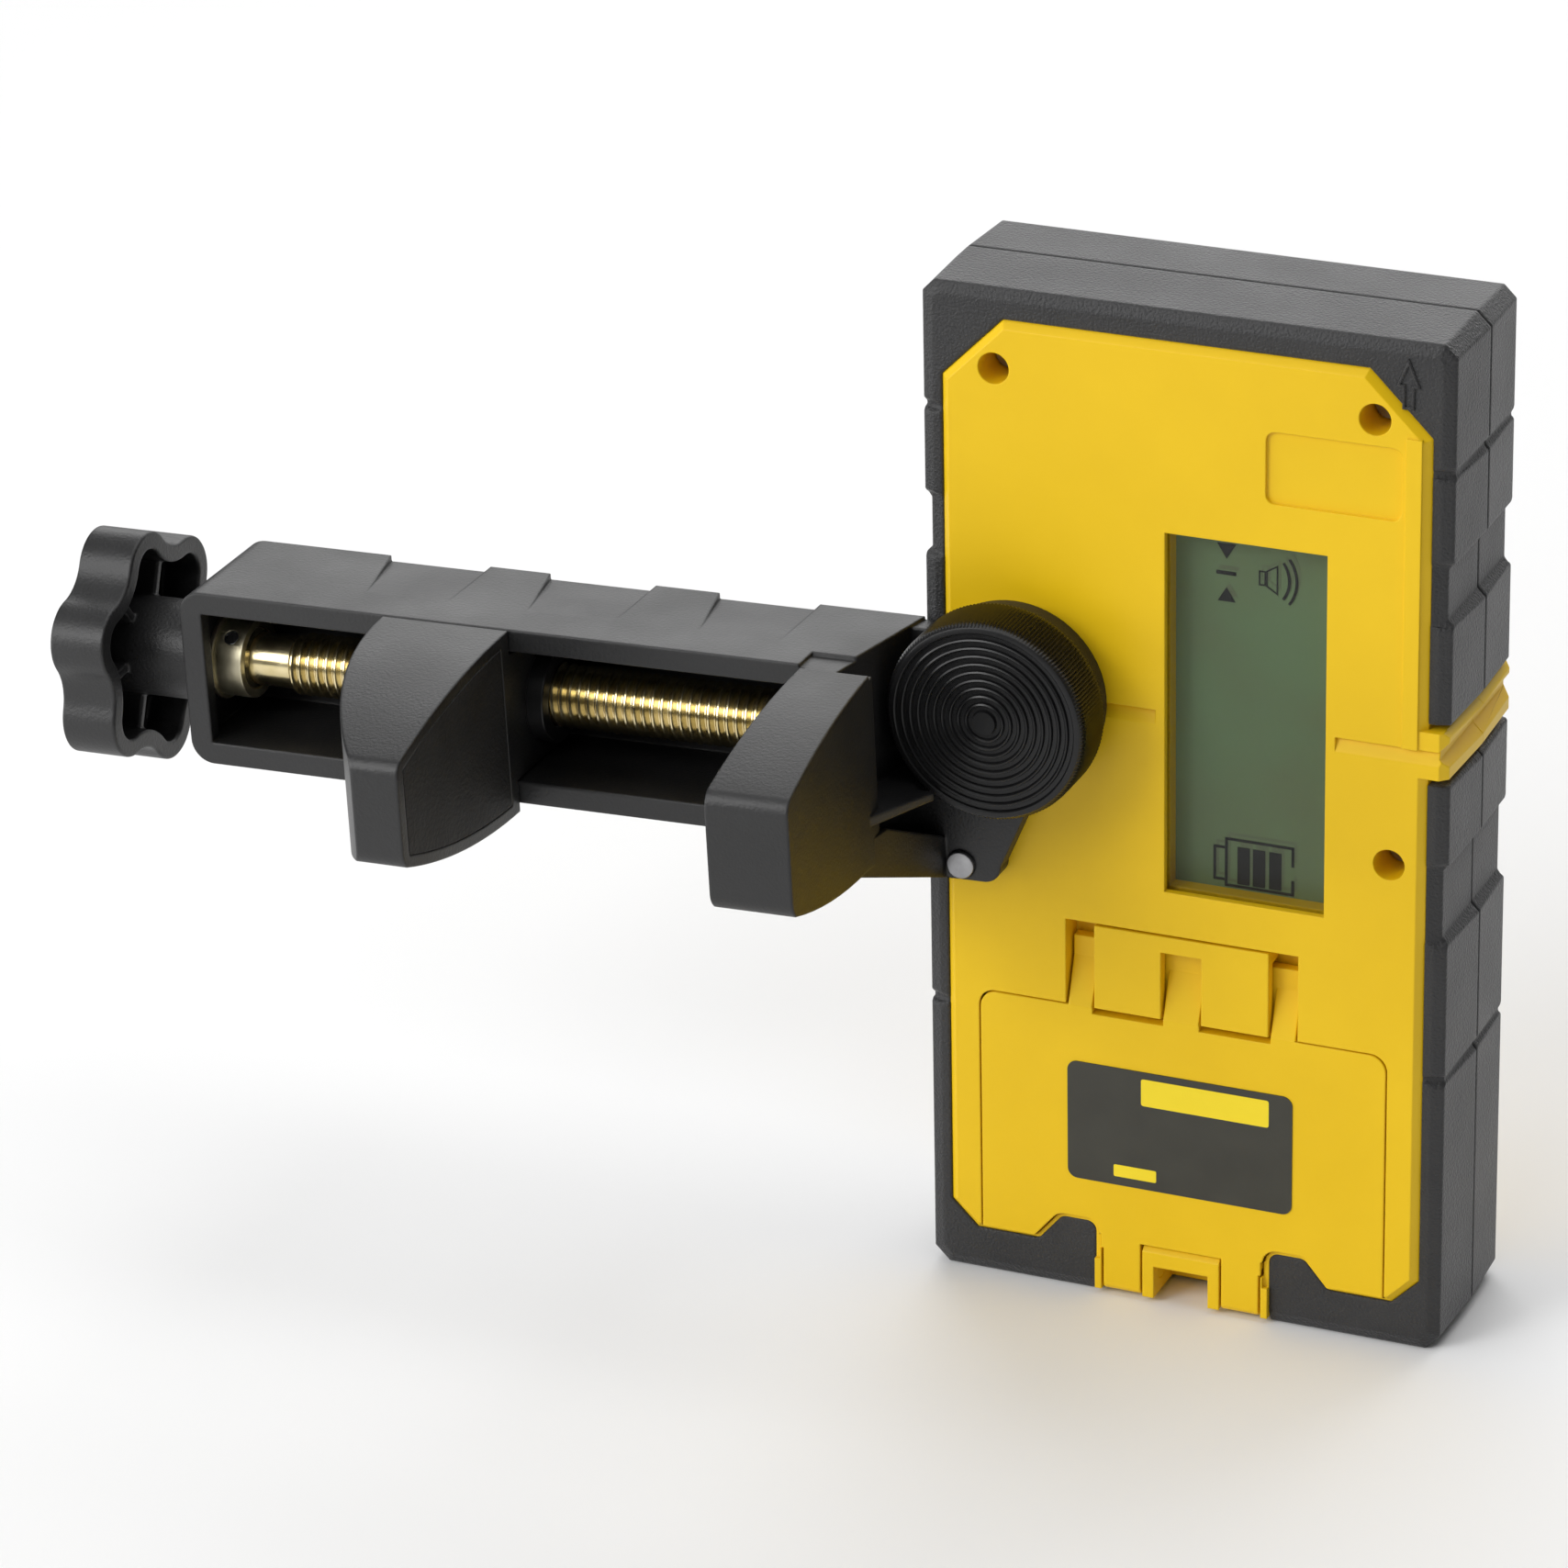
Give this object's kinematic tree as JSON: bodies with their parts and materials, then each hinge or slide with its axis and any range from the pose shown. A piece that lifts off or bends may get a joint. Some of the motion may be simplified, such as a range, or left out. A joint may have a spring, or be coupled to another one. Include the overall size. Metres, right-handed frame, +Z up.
{
  "type": "laser receiver with rod clamp",
  "caption": "Hand-held laser receiver with display windows, battery door and corner bumpers, on a screw-driven rod clamp with a star knob and a thumbscrew.",
  "frame": {"origin": "middle of the flat base, at mid depth of the case", "axes": "+X to the right of someone facing the rear panel, +Y from the rear panel to the sensor side, +Z up"},
  "size_m": [0.1767, 0.0755, 0.1331],
  "materials": {
    "yellow_plastic": "moulded satin",
    "bumper_black": "fine grain",
    "clamp_black": "fine grain",
    "clear_window": "clear",
    "red_window": "tinted",
    "display": "grey-green liquid crystal",
    "circuit": "lacquered board",
    "component_black": "moulded",
    "rubber_black": "matt",
    "steel": "bright",
    "zinc_steel": "yellow zinc plated",
    "brass": "turned",
    "cell_wrap": "plastic sleeve"
  },
  "bodies": {
    "receiver": {"rear_housing": "yellow_plastic", "front_housing": "yellow_plastic", "rear_upper_bumper": "bumper_black", "rear_lower_bumper": "bumper_black", "front_upper_bumper": "bumper_black", "front_lower_bumper": "bumper_black", "rear_display_window": "clear_window", "rear_display": "display", "front_display_window": "clear_window", "front_display": "display", "sensor_window": "red_window", "photodiode_strip": "component_black", "main_board": "circuit", "key_switches": "component_black", "buzzer": "component_black", "housing_seal": "rubber_black", "housing_screws": "steel", "mount_insert": "brass", "battery_cells": "cell_wrap", "battery_contacts": "steel"},
    "power_key": {"power_button": "rubber_black"},
    "volume_key": {"volume_button": "rubber_black"},
    "precision_key": {"precision_button": "rubber_black"},
    "door": {"battery_door": "yellow_plastic"},
    "latch": {"door_latch": "yellow_plastic"},
    "clamp": {"clamp_body": "clamp_black", "fixed_jaw_pad": "rubber_black", "locating_pin": "steel", "thrust_washer": "zinc_steel"},
    "jaw": {"sliding_jaw": "clamp_black", "sliding_jaw_pad": "rubber_black", "jaw_nut": "clamp_black"},
    "screw": {"jaw_screw": "zinc_steel", "screw_collar": "zinc_steel", "collar_pin": "steel", "star_knob": "clamp_black"},
    "thumbscrew": {"thumbscrew_knob": "clamp_black", "thumbscrew_stud": "steel", "thumbscrew_clip": "steel"}
  },
  "joints": [
    {"name": "power_press", "type": "slide", "parent": "receiver", "child": "power_key", "axis": [0, -1, 0], "range_m": [0, 0.0004], "stiffness_N_per_m": 1200, "springref_m": -0.0006},
    {"name": "volume_press", "type": "slide", "parent": "receiver", "child": "volume_key", "axis": [0, -1, 0], "range_m": [0, 0.0004], "stiffness_N_per_m": 1200, "springref_m": -0.0006},
    {"name": "precision_press", "type": "slide", "parent": "receiver", "child": "precision_key", "axis": [0, -1, 0], "range_m": [0, 0.0004], "stiffness_N_per_m": 1200, "springref_m": -0.0006},
    {"name": "door_hinge", "type": "hinge", "parent": "receiver", "child": "door", "pos_m": [0, -0.0094, 0.0036], "axis": [1, 0, 0], "range_deg": [0, 95]},
    {"name": "latch_press", "type": "slide", "parent": "door", "child": "latch", "axis": [0, 0, -1], "range_m": [0, 0.0005], "stiffness_N_per_m": 4000, "springref_m": -0.0003},
    {"name": "clamp_release", "type": "slide", "parent": "receiver", "child": "clamp", "axis": [0, -1, 0], "range_m": [0, 0.00888]},
    {"name": "thumbscrew_turn", "type": "hinge", "parent": "clamp", "child": "thumbscrew", "pos_m": [-0.0214, -0.0123, 0.0813], "axis": [0, -1, 0], "range_deg": [0, 2520]},
    {"name": "screw_turn", "type": "hinge", "parent": "clamp", "child": "screw", "pos_m": [-0.08123, -0.0215, 0.07551], "axis": [0.9994, 0, 0.0349], "range_deg": [-10512, 6480]},
    {"name": "jaw_slide", "type": "slide", "parent": "clamp", "child": "jaw", "axis": [0.9994, 0, 0.0349], "range_m": [-0.02251, 0.03651]}
  ],
  "couplings": [
    {"joint": "thumbscrew_turn", "follows": "clamp_release", "rad_per_m": 4947.4},
    {"joint": "jaw_slide", "follows": "screw_turn", "m_per_rad": -0.00019894}
  ]
}
